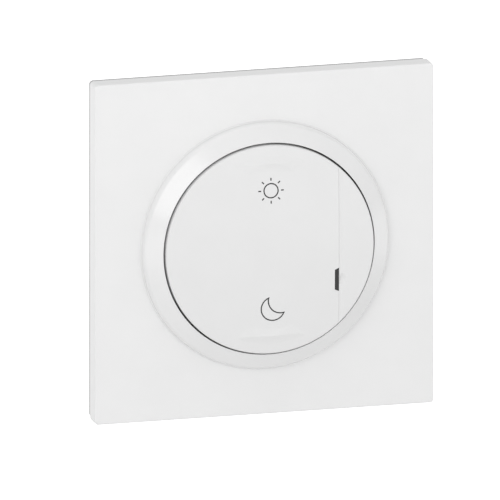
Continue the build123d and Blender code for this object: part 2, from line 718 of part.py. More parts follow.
with BuildPart() as light_guide:
    # foot over the diode, arm across the chassis, head behind the window
    with BuildSketch(facing(LED_TOP + LED_GAP)):
        with Locations((LED_X, WINDOW_Z)):
            Circle(GUIDE_R)
    extrude(amount=CHASSIS_FRONT - LED_TOP - LED_GAP)
    with BuildSketch(facing(CHASSIS_FRONT)):
        with Locations((LED_X, WINDOW_Z), (WINDOW_X, WINDOW_Z)):
            Circle(GUIDE_COLLAR_R)
        make_hull()
    extrude(amount=GUIDE_COLLAR)
    with BuildSketch(facing(CHASSIS_FRONT)):
        with Locations((WINDOW_X, WINDOW_Z)):
            Circle(GUIDE_R)
    extrude(amount=LIGHT_GUIDE_TOP - CHASSIS_FRONT)

with BuildPart() as board_header:
    with BuildSketch(facing(POWER_BOARD_FRONT)):
        with Locations((0, HEADER_Z)):
            Rectangle(HEADER_SIZE[0], HEADER_SIZE[1])
    extrude(amount=HEADER_SOCKET)
    strip_back = CONTROL_BOARD_BACK - HEADER_STRIP
    with BuildSketch(facing(strip_back)):
        with Locations((0, HEADER_Z)):
            Rectangle(HEADER_SIZE[0], HEADER_SIZE[1])
    extrude(amount=HEADER_STRIP)
    with BuildSketch(facing(POWER_BOARD_FRONT + HEADER_SOCKET)):
        with Locations((0, HEADER_Z)):
            with GridLocations(HEADER_SIZE[0] / HEADER_PINS, 1, HEADER_PINS, 1):
                Rectangle(HEADER_PIN, HEADER_PIN)
    extrude(amount=strip_back - POWER_BOARD_FRONT - HEADER_SOCKET)

# ---- Power board and what sits on it ---------------------------------------------------
with BuildPart() as power_board:
    with BuildSketch(facing(POWER_BOARD_BACK)):
        Circle(POWER_BOARD_R)
        with Locations(*POSTS):
            Circle(POST_R + POST_CLEARANCE, mode=Mode.SUBTRACT)
    extrude(amount=POWER_BOARD_THICKNESS)

with BuildPart() as heat_spreader:
    with BuildSketch(facing(POWER_BOARD_FRONT)):
        with Locations((0, SPREADER_Z)):
            Rectangle(SPREADER_LENGTH, SPREADER_FOOT, align=(Align.CENTER, Align.MAX))
    extrude(amount=SPREADER_THICKNESS)
    with BuildSketch(facing(POWER_BOARD_FRONT)):
        with Locations((0, SPREADER_Z)):
            Rectangle(SPREADER_LENGTH, SPREADER_THICKNESS, align=(Align.CENTER, Align.MIN))
    extrude(amount=SPREADER_HEIGHT)

with BuildPart() as transistor_pair:
    body_z = SPREADER_Z + SPREADER_THICKNESS + TRANSISTOR_SIZE[1] / 2
    for side in (-1, 1):
        body_x = side * TRANSISTOR_X
        with BuildSketch(facing(POWER_BOARD_FRONT + TRANSISTOR_LEAD)):
            with Locations((body_x, body_z)):
                Rectangle(TRANSISTOR_SIZE[0], TRANSISTOR_SIZE[1])
        extrude(amount=TRANSISTOR_SIZE[2])
        with BuildSketch(facing(POWER_BOARD_FRONT)):
            with Locations((body_x, body_z)):
                with GridLocations(TRANSISTOR_SIZE[0] / TRANSISTOR_LEADS, 1, TRANSISTOR_LEADS, 1):
                    Rectangle(*TRANSISTOR_LEAD_SIZE)
        extrude(amount=TRANSISTOR_LEAD)

with BuildPart() as choke_core:
    with BuildSketch(facing(POWER_BOARD_BACK - CHOKE_GAP - CHOKE_HEIGHT)):
        with Locations(CHOKE_AT):
            Circle(CHOKE_R)
            Circle(CHOKE_HOLE_R, mode=Mode.SUBTRACT)
    extrude(amount=CHOKE_HEIGHT)

with BuildPart() as choke_winding:
    wire = 2 * WINDING_WIRE_R
    ring_middle = (CHOKE_R + CHOKE_HOLE_R) / 2
    loop_long = CHOKE_R - CHOKE_HOLE_R + 2 * WINDING_FIT
    loop_tall = CHOKE_HEIGHT + 2 * WINDING_FIT
    choke_middle = POWER_BOARD_BACK - CHOKE_GAP - CHOKE_HEIGHT / 2
    centre = Location((CHOKE_AT[0], -choke_middle, CHOKE_AT[1]))
    for i in range(WINDING_TURNS):
        angle = (i + 0.5) * 360 / WINDING_TURNS
        turned = centre * Location((0, 0, 0), (0, angle, 0)) * Location((ring_middle, 0, 0))
        with BuildSketch(Plane(turned)):
            RectangleRounded(loop_long + 2 * wire, loop_tall + 2 * wire, wire)
            Rectangle(loop_long, loop_tall, mode=Mode.SUBTRACT)
        extrude(amount=WINDING_WIRE_R, both=True)

with BuildPart() as film_capacitor:
    with BuildSketch(facing(POWER_BOARD_BACK - FILM_SIZE[2])):
        with Locations(FILM_AT):
            Rectangle(FILM_SIZE[0], FILM_SIZE[1])
    extrude(amount=FILM_SIZE[2])
    fillet(film_capacitor.edges().filter_by(Axis.Y), FILM_ROUND)

with BuildPart() as electrolytic_capacitor:
    can_back = POWER_BOARD_BACK - CAN_LENGTH
    with BuildSketch(facing(can_back)):
        with Locations(CAN_AT):
            Circle(CAN_R)
    extrude(amount=CAN_LENGTH)
    fillet(electrolytic_capacitor.edges().sort_by(Axis.Y)[-1], CAN_ROUND)

with BuildPart() as fuse:
    with BuildSketch(facing(POWER_BOARD_BACK - FUSE_LENGTH)):
        with Locations(FUSE_AT):
            Circle(FUSE_R)
    extrude(amount=FUSE_LENGTH)
    fillet(fuse.edges().sort_by(Axis.Y)[-1], FUSE_ROUND)

# ---- Rear housing and its screws -------------------------------------------------------
WIRE_BORES = [(x, WIRE_BORE_Z) for x in TERMINAL_XS]
BUTTON_SITES = [(x, BUTTON_Z) for x in TERMINAL_XS]


def button_opening():
    """Opening that a release button slides in."""
    with Locations(*BUTTON_SITES):
        Rectangle(BUTTON_SIZE[0] + 2 * BUTTON_FIT, BUTTON_SIZE[1] + 2 * BUTTON_FIT)


lug_root_r = HOUSING_R - CLAMP_LUG_ROOT
ledge_root_r = HOUSING_INNER_R + LEDGE_ROOT
with BuildPart() as rear_housing:
    with BuildSketch(facing(HOUSING_BACK)):
        Circle(HOUSING_R)
    extrude(amount=CHASSIS_BACK - HOUSING_BACK)
    fillet(rear_housing.edges().sort_by(Axis.Y)[-1], HOUSING_ROUND)
    with BuildSketch(facing(HOUSING_FLOOR)):
        Circle(HOUSING_INNER_R)
    extrude(amount=CHASSIS_BACK - HOUSING_FLOOR, mode=Mode.SUBTRACT)
    with BuildSketch(facing(-CLAMP_LUG_DEPTH)):
        with PolarLocations((lug_root_r + CLAMP_LUG_R) / 2, 4, 45):
            Rectangle(CLAMP_LUG_R - lug_root_r, CLAMP_LUG_WIDTH)
    extrude(amount=CLAMP_LUG_DEPTH)
    with BuildSketch(facing(HOUSING_FLOOR)):
        with Locations(*POSTS):
            Circle(POST_R)
    extrude(amount=CHASSIS_BACK - HOUSING_FLOOR)
    with BuildSketch(facing(HOUSING_FLOOR)):
        for angle in LEDGE_ANGLES:
            with PolarLocations((ledge_root_r + LEDGE_INNER_R) / 2, 1, angle):
                Rectangle(ledge_root_r - LEDGE_INNER_R, LEDGE_WIDTH)
    extrude(amount=POWER_BOARD_BACK - HOUSING_FLOOR)
    screw_end = SCREW_SEAT_HEIGHT - SCREW_LENGTH
    with BuildSketch(facing(screw_end - SCREW_END_GAP)):
        with Locations(*POSTS):
            Circle(SCREW_R + SCREW_FIT)
    extrude(amount=CHASSIS_BACK - screw_end + SCREW_END_GAP, mode=Mode.SUBTRACT)
    with BuildSketch(facing(HOUSING_BACK)):
        with Locations(*WIRE_BORES):
            Circle(WIRE_BORE_R)
        button_opening()
    extrude(amount=HOUSING_WALL, mode=Mode.SUBTRACT)

with BuildPart() as housing_screws:
    with BuildSketch(facing(SCREW_SEAT_HEIGHT - SCREW_LENGTH)):
        with Locations(*POSTS):
            Circle(SCREW_R)
    extrude(amount=SCREW_LENGTH)
    with BuildSketch(facing(SCREW_SEAT_HEIGHT)):
        with Locations(*POSTS):
            Circle(SCREW_HEAD_R)
    extrude(amount=SCREW_HEAD)
    with BuildSketch(facing(SCREW_SEAT_HEIGHT + SCREW_HEAD / 2)):
        with Locations(*POSTS):
            Rectangle(SCREW_RECESS[0], SCREW_RECESS[1])
            Rectangle(SCREW_RECESS[1], SCREW_RECESS[0])
    extrude(amount=SCREW_HEAD / 2, mode=Mode.SUBTRACT)

# ---- Terminals -------------------------------------------------------------------------
with BuildPart() as terminal_block:
    with BuildSketch(facing(HOUSING_FLOOR)):
        with Locations((0, BLOCK_Z)):
            RectangleRounded(BLOCK_WIDTH, BLOCK_HEIGHT, BLOCK_CORNER)
    extrude(amount=BLOCK_FRONT - HOUSING_FLOOR)
    with BuildSketch(facing(CHAMBER_FLOOR)):
        with Locations((0, BLOCK_Z)):
            with GridLocations(TERMINAL_PITCH, 1, TERMINAL_COUNT, 1):
                Rectangle(CHAMBER_SIZE[0], CHAMBER_SIZE[1])
    extrude(amount=BLOCK_FRONT - CHAMBER_FLOOR, mode=Mode.SUBTRACT)
    with BuildSketch(facing(HOUSING_FLOOR)):
        with Locations(*WIRE_BORES):
            Circle(WIRE_BORE_R)
        button_opening()
    extrude(amount=CHAMBER_FLOOR - HOUSING_FLOOR, mode=Mode.SUBTRACT)

with BuildPart() as terminal_bars:
    with BuildSketch(facing(BAR_END)):
        with Locations((0, BAR_Z)):
            with GridLocations(TERMINAL_PITCH, 1, TERMINAL_COUNT, 1):
                Rectangle(BAR_SIZE[0], BAR_SIZE[1])
    extrude(amount=POWER_BOARD_BACK - BAR_END)

leaf_front = BLOCK_FRONT - LEAF_FRONT_GAP
LEAF_PATH = [
    (BAR_Z - LEAF_BAR_GAP, leaf_front - LEAF_HOOK),
    (BAR_Z - LEAF_BAR_GAP, leaf_front),
    (CHAMBER_BOTTOM + LEAF_WALL_GAP, leaf_front),
    (CHAMBER_BOTTOM + LEAF_WALL_GAP, CHAMBER_FLOOR + LEAF_TAIL),
    (BAR_Z - LEAF_BAR_GAP - LEAF_TIP[0], CHAMBER_FLOOR + LEAF_TAIL + LEAF_TIP[1]),
]
with BuildPart() as terminal_springs:
    for terminal_x in TERMINAL_XS:
        with BuildSketch(Plane.YZ.offset(terminal_x)):
            with BuildLine():
                FilletPolyline(*[(-h, z) for z, h in LEAF_PATH], radius=LEAF_BEND_R)
                offset(amount=LEAF_THICKNESS / 2)
            make_face()
        extrude(amount=LEAF_WIDTH / 2, both=True)


def release_button(x):
    """Push button beside a wire entry: a plain shaft with a flange that keeps it in."""
    with BuildPart() as button:
        with BuildSketch(facing(HOUSING_BACK - BUTTON_STANDOFF)):
            with Locations((x, BUTTON_Z)):
                Rectangle(BUTTON_SIZE[0], BUTTON_SIZE[1])
        extrude(amount=CHAMBER_FLOOR - HOUSING_BACK + BUTTON_STANDOFF)
        with BuildSketch(facing(CHAMBER_FLOOR)):
            with Locations((x, BUTTON_Z)):
                Rectangle(BUTTON_FLANGE[0], BUTTON_FLANGE[1])
        extrude(amount=BUTTON_FLANGE[2])
        fillet(button.edges().sort_by(Axis.Y)[-4:], BUTTON_ROUND)
    return button.part


with BuildPart() as left_release:
    add(release_button(TERMINAL_XS[0]))

with BuildPart() as middle_release:
    add(release_button(TERMINAL_XS[1]))

with BuildPart() as right_release:
    add(release_button(TERMINAL_XS[2]))

# ---- Export ----------------------------------------------------------------------------
PIECES = {
    "cover_plate": cover_plate,
    "plate_subframe": plate_subframe,
    "trim_ring": trim_ring,
    "mounting_frame": mounting_frame,
    "front_chassis": front_chassis,
    "pivot_pins": pivot_pins,
    "rocker": rocker,
    "sun_symbol": sun_symbol,
    "moon_symbol": moon_symbol,
    "indicator_lens": indicator_lens,
    "upper_plunger": upper_plunger,
    "lower_plunger": lower_plunger,
    "upper_spring": upper_spring,
    "lower_spring": lower_spring,
    "upper_switch": upper_switch,
    "lower_switch": lower_switch,
    "control_board": control_board,
    "controller_chip": controller_chip,
    "status_led": status_led,
    "light_guide": light_guide,
    "board_header": board_header,
    "power_board": power_board,
    "heat_spreader": heat_spreader,
    "transistor_pair": transistor_pair,
    "choke_core": choke_core,
    "choke_winding": choke_winding,
    "film_capacitor": film_capacitor,
    "electrolytic_capacitor": electrolytic_capacitor,
    "fuse": fuse,
    "rear_housing": rear_housing,
    "housing_screws": housing_screws,
    "terminal_block": terminal_block,
    "terminal_bars": terminal_bars,
    "terminal_springs": terminal_springs,
    "left_release": left_release,
    "middle_release": middle_release,
    "right_release": right_release,
}

os.makedirs("parts", exist_ok=True)
for label, piece in PIECES.items():
    piece.part.label = label
    export_step(piece.part, f"parts/{label}.step")
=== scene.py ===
"""Rocker dimmer with a square cover plate: fine pieces, finishes and a small studio round the CAD."""

import json
import math

import bmesh
import bpy
from bpy.props import FloatProperty, FloatVectorProperty, IntProperty, PointerProperty
from mathutils import Matrix, Vector


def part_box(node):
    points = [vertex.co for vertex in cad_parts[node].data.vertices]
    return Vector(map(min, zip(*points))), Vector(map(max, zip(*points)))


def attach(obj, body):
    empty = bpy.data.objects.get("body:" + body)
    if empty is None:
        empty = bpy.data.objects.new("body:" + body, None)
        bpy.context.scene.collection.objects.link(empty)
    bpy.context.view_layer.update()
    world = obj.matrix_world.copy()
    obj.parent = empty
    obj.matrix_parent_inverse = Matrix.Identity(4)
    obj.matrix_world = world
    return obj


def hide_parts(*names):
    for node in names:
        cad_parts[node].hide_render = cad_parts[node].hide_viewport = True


bl_info = {
    "name": "Rocker Dimmer",
    "version": (1, 0, 0),
    "blender": (4, 5, 0),
    "location": "View3D > Sidebar > Dimmer",
    "description": "Fine pieces, finishes and a studio for a rocker dimmer with a square cover plate",
    "category": "Object",
}

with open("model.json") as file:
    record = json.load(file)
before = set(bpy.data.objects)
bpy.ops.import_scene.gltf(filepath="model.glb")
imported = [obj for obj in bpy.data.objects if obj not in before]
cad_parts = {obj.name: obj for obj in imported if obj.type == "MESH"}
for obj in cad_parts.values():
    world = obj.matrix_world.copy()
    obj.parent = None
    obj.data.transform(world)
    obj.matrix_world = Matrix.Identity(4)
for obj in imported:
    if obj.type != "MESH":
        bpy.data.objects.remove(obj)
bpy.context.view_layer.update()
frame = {"nodes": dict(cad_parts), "record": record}
MM = 0.001

PLATE_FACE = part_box("cover_plate")[0].y
RING_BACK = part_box("trim_ring")[1].y
RING_OUTER_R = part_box("trim_ring")[1].x
HOUSING_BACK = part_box("rear_housing")[1].y
HOUSING_R = 22.5 * MM
BUTTON_SIZE = (3.2 * MM, 2.8 * MM)
BUTTON_Z = (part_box("left_release")[0].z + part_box("left_release")[1].z) / 2
PANEL_Z = 5.0 * MM
FRAME_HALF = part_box("mounting_frame")[1].x
SINK = 0.05 * MM                    # how far an added piece reaches into what carries it
MERGE = 1e-7                        # vertices closer than this, in metres, are one
NOISE_LOW, NOISE_HIGH = 0.3, 0.7    # nearly all of a noise's values lie between these
WAVE_RATE = 20 / math.tau           # a wave texture repeats this many times per unit at scale 1
RELEASES = ("left_release", "middle_release", "right_release")
WIRE_ENTRIES = [
    Vector(mount["pos_m"]) for mount in frame["record"]["mounts"] if mount["name"].endswith("_wire_entry")
]


# ---- Helpers ----------------------------------------------------------------------


def linear(hex_colour):
    """Turns an sRGB hex value such as #F2F2F0 into a linear RGBA tuple."""
    shares = [int(hex_colour.lstrip("#")[i : i + 2], 16) / 255 for i in (0, 2, 4)]
    return tuple(s / 12.92 if s <= 0.04045 else ((s + 0.055) / 1.055) ** 2.4 for s in shares) + (1.0,)


def feed(tree, node, sockets):
    """Gives each named input socket a value, or joins it to another node's output."""
    for name, value in sockets.items():
        if isinstance(value, bpy.types.NodeSocket):
            tree.links.new(value, node.inputs[name])
        else:
            node.inputs[name].default_value = value


def add_node(tree, kind, sockets, **settings):
    """Adds one node with its settings and its input sockets."""
    made = tree.nodes.new(kind)
    for name, value in settings.items():
        setattr(made, name, value)
    feed(tree, made, sockets)
    return made


def new_material(name):
    """A material with its default Principled shader; returns the material, its tree and the shader."""
    made = bpy.data.materials.new(name)
    made.use_nodes = True
    return made, made.node_tree, made.node_tree.nodes["Principled BSDF"]


def per_metre(size_mm):
    """Scale of a noise or wave on Object coordinates, in metres, for a pattern of this size."""
    return 1 / (size_mm * MM)


def finish_piece(bm, name, material, body="base", smooth_angle=35.0):
    """Turns a bmesh into a named piece with one material that rides on a body."""
    mesh = bpy.data.meshes.new(name)
    bm.to_mesh(mesh)
    bm.free()
    mesh.shade_smooth()
    mesh.set_sharp_from_angle(angle=math.radians(smooth_angle))
    mesh.materials.append(material)
    piece = bpy.data.objects.new(name, mesh)
    bpy.context.scene.collection.objects.link(piece)
    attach(piece, body)
    return piece


def spun(profile, steps):
    """A closed profile of (radius, depth along Y) corners, spun about the Y axis."""
    bm = bmesh.new()
    corners = [bm.verts.new((radius, y, 0)) for radius, y in profile]
    edges = [bm.edges.new((corners[i - 1], corners[i])) for i in range(len(corners))]
    bmesh.ops.spin(
        bm, geom=corners + edges, cent=(0, 0, 0), axis=(0, 1, 0), angle=math.tau,
        steps=steps, use_merge=True,
    )
    bmesh.ops.remove_doubles(bm, verts=bm.verts, dist=MERGE)
    bmesh.ops.recalc_face_normals(bm, faces=bm.faces)
    return bm


def round_edges(bm, edges, size, segments):
    """Rounds edges, and returns what the rounding made."""
    return bmesh.ops.bevel(
        bm, geom=edges, offset=size, offset_type="OFFSET", segments=segments, profile=0.5,
        affect="EDGES", clamp_overlap=True, material=-1,
    )


def round_hoop(bm, radius, y, size, segments):
    """Rounds the circular edge of a spun piece that lies at a radius and depth."""
    near = 1e-6

    def on_hoop(vert):
        return abs(math.hypot(vert.co.x, vert.co.z) - radius) < near and abs(vert.co.y - y) < near

    round_edges(bm, [e for e in bm.edges if all(on_hoop(v) for v in e.verts)], size, segments)


def even_normals(piece):
    """Keeps the wide faces of a rounded piece flat in the light."""
    weighted = piece.modifiers.new("even normals", "WEIGHTED_NORMAL")
    weighted.keep_sharp = True
    weighted.weight = 90


def finish_nodes(names, material):
    """Puts one material on CAD nodes."""
    for name in names:
        slots = frame["nodes"][name].data.materials
        slots.clear()
        slots.append(material)


def made_material(name):
    """A material that an earlier operator has made."""
    if name not in bpy.data.materials:
        raise RuntimeError(f"the finish {name!r} is made by the finishes operator, which comes first")
    return bpy.data.materials[name]


# ---- Kinds of finish -----------------------------------------------------------------


def object_place(tree):
    """The point on the piece, in metres, that every pattern is drawn from."""
    return add_node(tree, "ShaderNodeTexCoord", {}).outputs["Object"]


def noise(tree, place, size_mm, detail, **sockets):
    """Noise with blotches of about this size."""
    sockets = {"Vector": place, "Scale": per_metre(size_mm), "Detail": detail, **sockets}
    return add_node(tree, "ShaderNodeTexNoise", sockets).outputs["Fac"]


def two_tones(tree, pattern, tones, stops):
    """Runs from one linear colour to another as a pattern goes from its low stop to its high one."""
    ramp = add_node(tree, "ShaderNodeValToRGB", {"Fac": pattern})
    for element, tone, stop in zip(ramp.color_ramp.elements, tones, stops):
        element.position = stop
        element.color = tone
    return ramp.outputs["Color"]


def uneven_gloss(tree, pattern, low, high):
    """Roughness that a noise takes from low to high."""
    sockets = {
        "Value": pattern, "From Min": NOISE_LOW, "From Max": NOISE_HIGH, "To Min": low, "To Max": high,
    }
    return add_node(tree, "ShaderNodeMapRange", sockets).outputs["Result"]


def relief(tree, height, strength, depth_mm):
    """Shallow relief that follows a pattern."""
    sockets = {"Height": height, "Strength": strength, "Distance": depth_mm * MM}
    return add_node(tree, "ShaderNodeBump", sockets).outputs["Normal"]


def moulded(
    name, colour, drift, roughness, grain_mm, grain_depth_mm, spread=0.05, drift_mm=11.0, ior=1.5, coat=0.0
):
    """Moulded plastic: its colour drifts where the melt flowed, and the tool left its texture."""
    material, tree, shader = new_material(name)
    place = object_place(tree)
    flow = noise(tree, place, drift_mm, 3.0, Roughness=0.55)
    grain = noise(tree, place, grain_mm, 4.0, Roughness=0.6)
    feed(tree, shader, {
        "Base Color": two_tones(tree, flow, (linear(drift), colour), (NOISE_LOW, NOISE_HIGH)),
        "Roughness": uneven_gloss(tree, grain, roughness - spread, roughness + spread),
        "Normal": relief(tree, grain, 0.4, grain_depth_mm),
        "IOR": ior,
        "Coat Weight": coat,
        "Coat Roughness": 0.7 * roughness,
    })
    return material


def worked_metal(
    name, colour, stain, roughness, grain_mm, cloud_mm, grain_along=(0.04, 1.0, 1.0), relief_mm=0.008
):
    """Metal with a grain from rolling, drawing or grinding, and clouds from its bath."""
    material, tree, shader = new_material(name)
    place = object_place(tree)
    along = add_node(tree, "ShaderNodeMapping", {"Vector": place, "Scale": grain_along}).outputs["Vector"]
    grain = noise(tree, along, grain_mm, 3.0)
    clouds = noise(tree, place, cloud_mm, 5.0, Roughness=0.6)
    feed(tree, shader, {
        "Base Color": two_tones(tree, clouds, (linear(stain), linear(colour)), (0.35, 0.65)),
        "Roughness": uneven_gloss(tree, grain, roughness - 0.07, roughness + 0.09),
        "Normal": relief(tree, grain, 0.25, relief_mm),
        "Metallic": 1.0,
    })
    return material


def masked_glass_board(name, colour, thread, repeat_mm):
    """Circuit board: woven glass threads that show through a clear coat of solder mask."""
    material, tree, shader = new_material(name)
    scale = per_metre(repeat_mm) / WAVE_RATE
    wave = {"Vector": object_place(tree), "Scale": scale, "Distortion": 0.4, "Detail": 1.0}
    warp, weft = (
        add_node(tree, "ShaderNodeTexWave", wave, bands_direction=way).outputs["Fac"] for way in ("X", "Z")
    )
    weave = add_node(tree, "ShaderNodeMath", {0: warp, 1: weft}, operation="MULTIPLY").outputs["Value"]
    feed(tree, shader, {
        "Base Color": two_tones(tree, weave, (linear(colour), linear(thread)), (0.0, 1.0)),
        "Roughness": 0.35,
        "Normal": relief(tree, weave, 0.3, 0.01),
        "Coat Weight": 0.5,
    })
    return material


def clear_moulded(name, colour, roughness, flow_mm, weight):
    """Clear plastic: light goes through it and bends, and faint flow lines break up its gloss."""
    material, tree, shader = new_material(name)
    flow = noise(tree, object_place(tree), flow_mm, 2.0, Distortion=0.8)
    feed(tree, shader, {
        "Base Color": linear(colour),
        "Roughness": uneven_gloss(tree, flow, roughness, roughness + 0.06),
        "Normal": relief(tree, flow, 0.2, 0.01),
        "IOR": 1.49,
        "Transmission Weight": weight,
    })
    return material


# ---- Sizes and colours that a user may change ------------------------------------------


class RingSettings(bpy.types.PropertyGroup):
    band: FloatProperty(
        name="Band", description="Width of the sloping band, across the radius",
        default=4.15 * MM, unit="LENGTH", subtype="DISTANCE",
    )
    wall: FloatProperty(
        name="Collar wall", description="Thickness of the collar that goes through the plate",
        default=1.2 * MM, unit="LENGTH", subtype="DISTANCE",
    )
    edge_rise: FloatProperty(
        name="Edge rise", description="Height of the outer edge over the plate",
        default=1.5 * MM, unit="LENGTH", subtype="DISTANCE",
    )
    lip_rise: FloatProperty(
        name="Lip rise", description="Height of the inner lip over the plate",
        default=4.2 * MM, unit="LENGTH", subtype="DISTANCE",
    )
    outer_round: FloatProperty(
        name="Outer rounding", description="Rounding of the outer edge",
        default=0.9 * MM, unit="LENGTH", subtype="DISTANCE",
    )
    foot: FloatProperty(
        name="Foot", description="Hollow rounding where the outer edge meets the plate",
        default=0.35 * MM, unit="LENGTH", subtype="DISTANCE",
    )
    lip_round: FloatProperty(
        name="Lip rounding", description="Rounding of the inner lip",
        default=0.2 * MM, unit="LENGTH", subtype="DISTANCE",
    )
    steps: IntProperty(name="Steps", description="Faces round the ring", default=288, min=48, max=512)


class HousingSettings(bpy.types.PropertyGroup):
    rib_count: IntProperty(
        name="Ribs", description="Ribs round the housing's side", default=40, min=4, max=120
    )
    rib_width: FloatProperty(
        name="Rib width", description="Width of a rib",
        default=0.9 * MM, unit="LENGTH", subtype="DISTANCE",
    )
    rib_rise: FloatProperty(
        name="Rib rise", description="Height of a rib over the side",
        default=0.35 * MM, unit="LENGTH", subtype="DISTANCE",
    )
    rib_margin: FloatProperty(
        name="Rib margin", description="Plain band left at both ends of the ribs",
        default=3.0 * MM, unit="LENGTH", subtype="DISTANCE",
    )
    panel_size: FloatVectorProperty(
        name="Blank panel", description="Width and height of the blank rating panel",
        default=(24 * MM, 9 * MM), size=2, unit="LENGTH", subtype="XYZ_LENGTH",
    )
    collar_rise: FloatProperty(
        name="Collar rise", description="Height of the wire funnels and button rims over the back",
        default=0.5 * MM, unit="LENGTH", subtype="DISTANCE",
    )


class SteelFrameSettings(bpy.types.PropertyGroup):
    bead_length: FloatProperty(
        name="Bead length", description="Length of a pressed bead",
        default=14.0 * MM, unit="LENGTH", subtype="DISTANCE",
    )
    bead_width: FloatProperty(
        name="Bead width", description="Width of a pressed bead",
        default=2.4 * MM, unit="LENGTH", subtype="DISTANCE",
    )
    bead_depth: FloatProperty(
        name="Bead depth", description="Depth of a pressed bead",
        default=0.45 * MM, unit="LENGTH", subtype="DISTANCE",
    )


class ColourSettings(bpy.types.PropertyGroup):
    plate: FloatVectorProperty(
        name="Plate", description="White of the cover plate",
        default=linear("#E6E6E6"), size=4, subtype="COLOR",
    )
    ring: FloatVectorProperty(
        name="Ring", description="White of the trim ring",
        default=linear("#E4E4E4"), size=4, subtype="COLOR",
    )
    rocker: FloatVectorProperty(
        name="Rocker", description="White of the rocker",
        default=linear("#DFDFDF"), size=4, subtype="COLOR",
    )
    back: FloatVectorProperty(
        name="Back", description="Grey of the housing behind the plate",
        default=linear("#C6C8C9"), size=4, subtype="COLOR",
    )
    release: FloatVectorProperty(
        name="Releases", description="Orange of the release buttons",
        default=linear("#D9742B"), size=4, subtype="COLOR",
    )


class StageSettings(bpy.types.PropertyGroup):
    azimuth: FloatProperty(
        name="Azimuth", description="Camera's turn to the left of the plate's front",
        default=math.radians(-15.0), unit="ROTATION", subtype="ANGLE",
    )
    elevation: FloatProperty(
        name="Elevation", description="Camera's height angle",
        default=math.radians(14.7), unit="ROTATION", subtype="ANGLE",
    )
    picture_height: FloatProperty(
        name="Picture height", description="Height that the picture takes in",
        default=114.0 * MM, unit="LENGTH", subtype="DISTANCE",
    )
    off_centre: FloatVectorProperty(
        name="Off centre",
        description="How far the plate's face sits right of and above the picture's middle",
        default=(3.3 * MM, 1.3 * MM), size=2, unit="LENGTH", subtype="XYZ_LENGTH",
    )
    air: FloatProperty(name="Air", description="Light that comes from all round", default=0.7)
    key: FloatProperty(name="Key", description="Radiance of the softbox at the left", default=1.75)
    top: FloatProperty(name="Top", description="Radiance of the softbox overhead", default=0.7)
    fill: FloatProperty(name="Fill", description="Radiance of the wide softbox in front", default=0.62)
    floor_glow: FloatProperty(
        name="Floor glow", description="Light of the floor away from the object", default=0.75
    )


# ---- Operators ------------------------------------------------------------------------------


class DIMMER_OT_front_finishes(bpy.types.Operator):
    """Finishes of what is seen from the front"""

    bl_idname = "dimmer.front_finishes"
    bl_label = "Front finishes"

    def execute(self, context):
        colours = context.scene.dimmer_colours
        # spark-eroded texture, about 0.05 mm in the tool and drawn at 0.3 mm: soft, even sheen
        plate = moulded("satin moulded ABS", tuple(colours.plate), "#E4E4E4", 0.42, 0.3, 0.003)
        # polished tool: a bright reflection with soft ends lies on the cone's upper left
        ring = moulded(
            "polished ABS", tuple(colours.ring), "#E2E2E2", 0.24, 1.4, 0.001, spread=0.02, coat=0.6
        )
        # fine polish, a little softer than the ring: wide sheen that follows the dome
        rocker = moulded(
            "half-gloss ABS", tuple(colours.rocker), "#DDDDDD", 0.32, 0.4, 0.0003, spread=0.02, coat=0.15
        )
        # printed ink with the faint mottle of the pad: flat grey line
        ink = moulded("pad-printed ink", linear("#303030"), "#2B2B2B", 0.6, 0.2, 0.004, drift_mm=0.8)
        # clear plastic dyed dark and polished: nearly black window with a small glint
        smoked = moulded(
            "smoked acrylic", linear("#141414"), "#111111", 0.12, 0.9, 0.001, spread=0.02, ior=1.49
        )
        # regrind-grey back part with a coarse tool texture: dull rim behind the plate
        back_layer = moulded(
            "grey moulded polycarbonate", linear("#B2B2B2"), "#ACACAC", 0.5, 0.35, 0.008, ior=1.58
        )
        finish_nodes(("cover_plate",), plate)
        finish_nodes(("trim_ring",), ring)
        finish_nodes(("rocker",), rocker)
        finish_nodes(("sun_symbol", "moon_symbol"), ink)
        finish_nodes(("indicator_lens",), smoked)
        finish_nodes(("plate_subframe",), back_layer)
        return {"FINISHED"}


